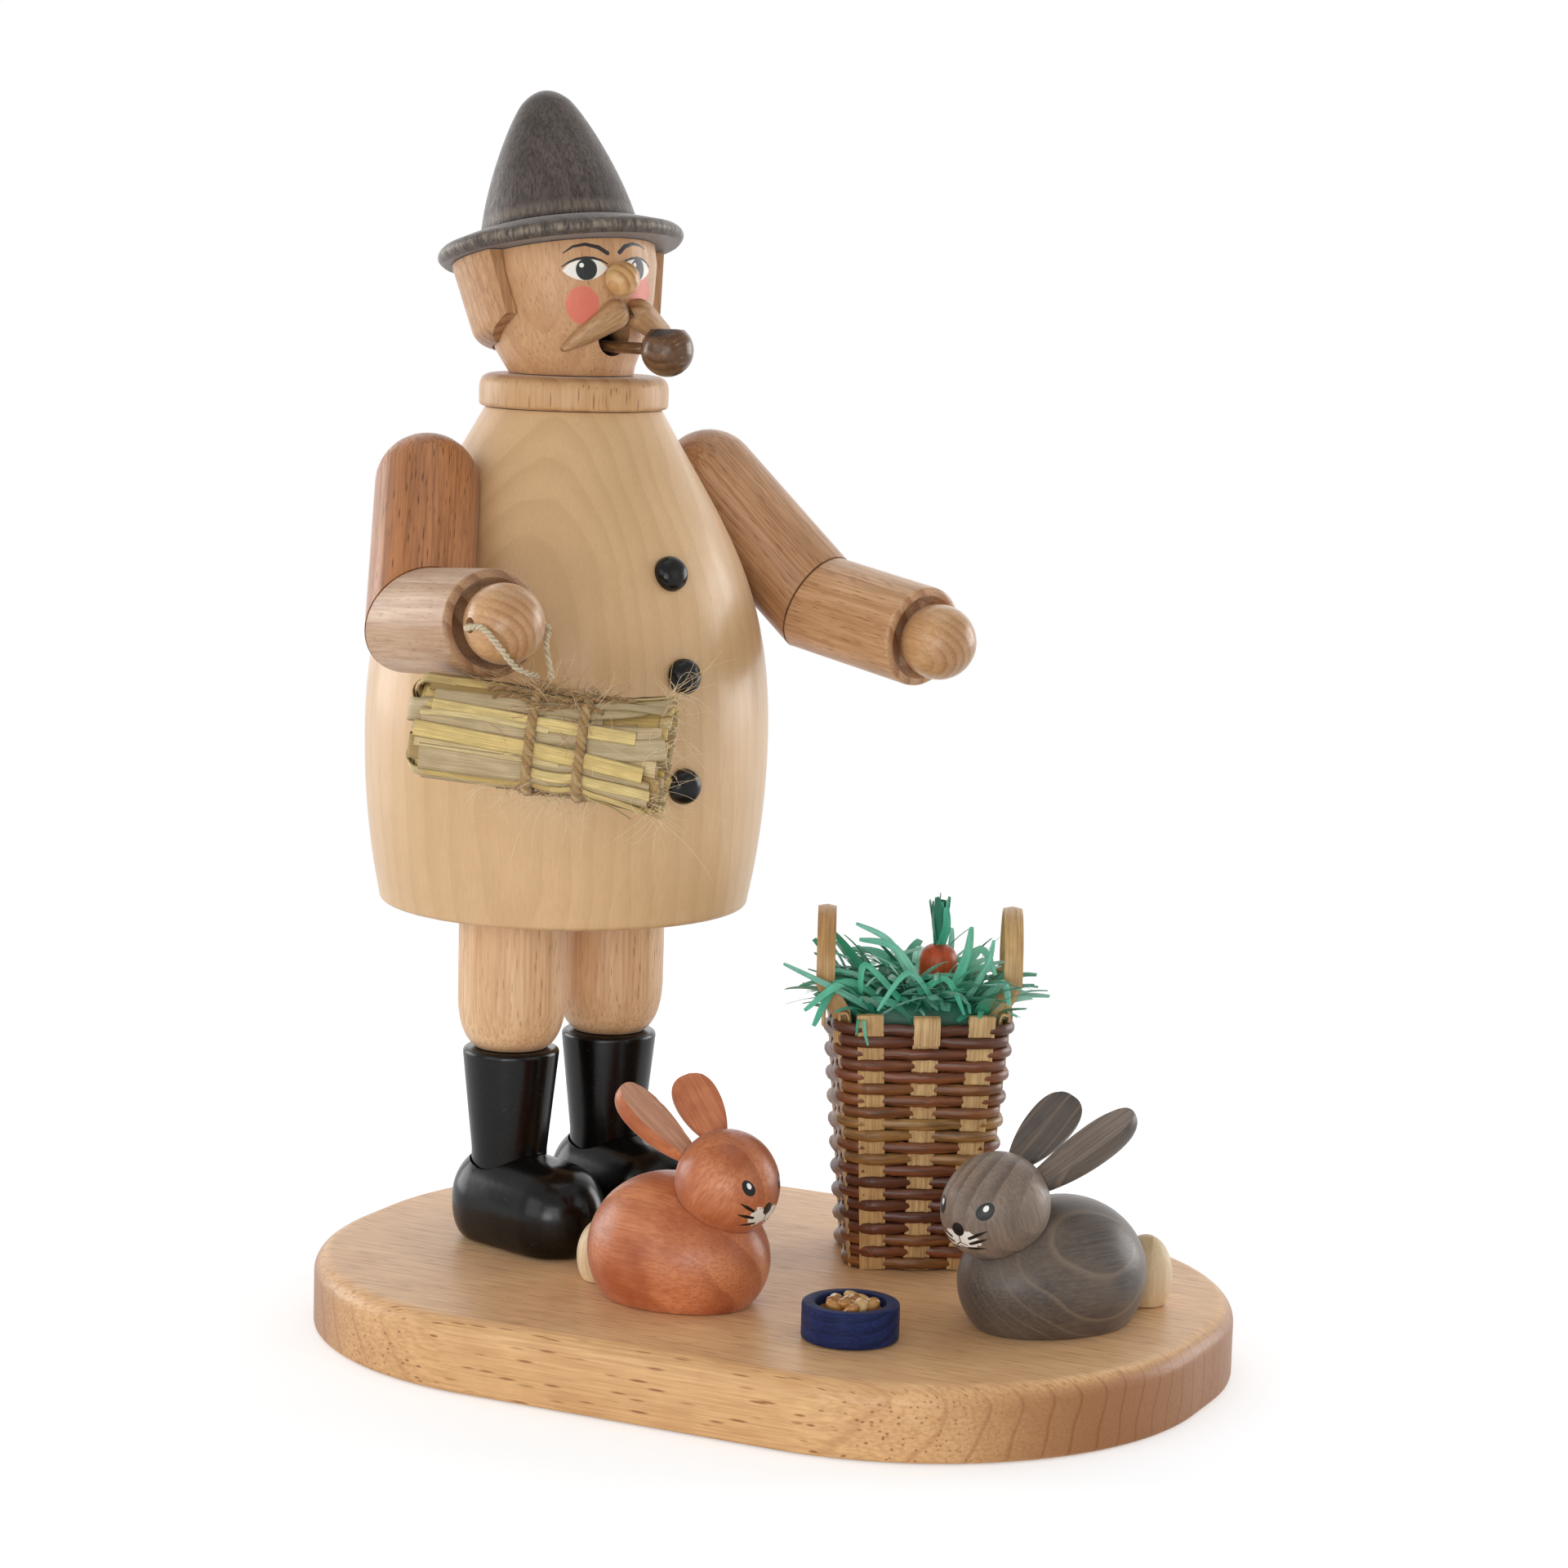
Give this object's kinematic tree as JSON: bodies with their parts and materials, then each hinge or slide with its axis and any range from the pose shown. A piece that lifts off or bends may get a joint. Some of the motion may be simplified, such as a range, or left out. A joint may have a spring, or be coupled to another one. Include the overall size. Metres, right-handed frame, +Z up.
{
  "type": "incense smoker",
  "caption": "Turned wooden rabbit keeper with pipe, straw bundle, feed basket and rabbits on an oval plate; the hollow coat lifts off to take an incense cone and smoke leaves by the mouth.",
  "frame": {"origin": "middle of the oval plate's underside, on the surface it stands on", "axes": "+X along the plate's long axis towards the end with the grey rabbit, +Y across the plate towards the basket's side, +Z up; the keeper stands near the -X end and looks along +X and somewhat -Y"},
  "size_m": [0.1501, 0.1162, 0.1992],
  "materials": {
    "beech_plate": "oiled beech, grain along the plate",
    "black_lacquer": "gloss black lacquer on wood",
    "leg_beech": "clear-lacquered beech",
    "seat_beech": "raw beech",
    "plate_steel": "pressed sheet steel",
    "coat_linden": "clear-lacquered pale wood",
    "collar_beech": "clear-lacquered beech",
    "head_beech": "clear-lacquered beech with painted face",
    "hair_beech": "clear-lacquered beech",
    "hat_stain": "grey-black stain, satin",
    "nose_wood": "clear-lacquered pale wood",
    "moustache_wood": "clear-lacquered brown wood",
    "pipe_wood": "dark brown stain, gloss",
    "arm_beech": "clear-lacquered reddish beech",
    "forearm_beech": "clear-lacquered pale beech",
    "hand_wood": "clear-lacquered brown wood",
    "straw": "dry straw and grass blades",
    "jute": "jute twine",
    "twine": "pale cotton twine",
    "rabbit_brown": "russet stain, satin",
    "rabbit_gray": "grey stain, satin",
    "tail_wood": "pale wood",
    "bowl_blue": "dark blue lacquer on wood",
    "grain": "glued amber grains",
    "wicker": "peeled and stained willow",
    "cane": "split cane",
    "raffia_grass": "green raffia grass",
    "carrot": "orange stain on wood"
  },
  "bodies": {
    "base": {"base_plate": "beech_plate", "shoe_left": "black_lacquer", "shoe_right": "black_lacquer", "boot_shaft_left": "black_lacquer", "boot_shaft_right": "black_lacquer", "leg_left": "leg_beech", "leg_right": "leg_beech", "seat_disc": "seat_beech", "cone_plate": "plate_steel", "plate_nail": "plate_steel", "feed_bowl": "bowl_blue", "feed_grains": "grain", "basket": "wicker", "basket_handle_left": "cane", "basket_handle_right": "cane", "basket_grass": "raffia_grass", "carrot": "carrot", "carrot_leaves": "raffia_grass", "rabbit_brown_body": "rabbit_brown", "rabbit_brown_head": "rabbit_brown", "rabbit_brown_ear_left": "rabbit_brown", "rabbit_brown_ear_right": "rabbit_brown", "rabbit_brown_tail": "tail_wood", "rabbit_gray_body": "rabbit_gray", "rabbit_gray_head": "rabbit_gray", "rabbit_gray_ear_left": "rabbit_gray", "rabbit_gray_ear_right": "rabbit_gray", "rabbit_gray_tail": "tail_wood"},
    "upper_body": {"coat_body": "coat_linden", "button_top": "black_lacquer", "button_middle": "black_lacquer", "button_bottom": "black_lacquer", "collar": "collar_beech", "head": "head_beech", "hair_band": "hair_beech", "hat": "hat_stain", "nose": "nose_wood", "moustache_left": "moustache_wood", "moustache_right": "moustache_wood", "pipe_bowl": "pipe_wood", "pipe_stem": "pipe_wood", "upper_arm_left": "arm_beech", "upper_arm_right": "arm_beech", "forearm_left": "forearm_beech", "forearm_right": "forearm_beech", "hand_left": "hand_wood", "hand_right": "hand_wood", "shoulder_dowel_left": "seat_beech", "shoulder_dowel_right": "seat_beech"},
    "bundle": {"straw_bundle": "straw", "bundle_tie_left": "jute", "bundle_tie_right": "jute", "hanger_twine": "twine"}
  },
  "joints": [
    {"name": "body_lift", "type": "slide", "parent": "base", "child": "upper_body", "axis": [0, 0, 1], "range_m": [0, 0.06]},
    {"name": "bundle_swing", "type": "hinge", "parent": "upper_body", "child": "bundle", "pos_m": [-0.02141, -0.05262, 0.1192], "axis": [-0.4618, -0.887, 0], "range_deg": [0, 60]}
  ]
}
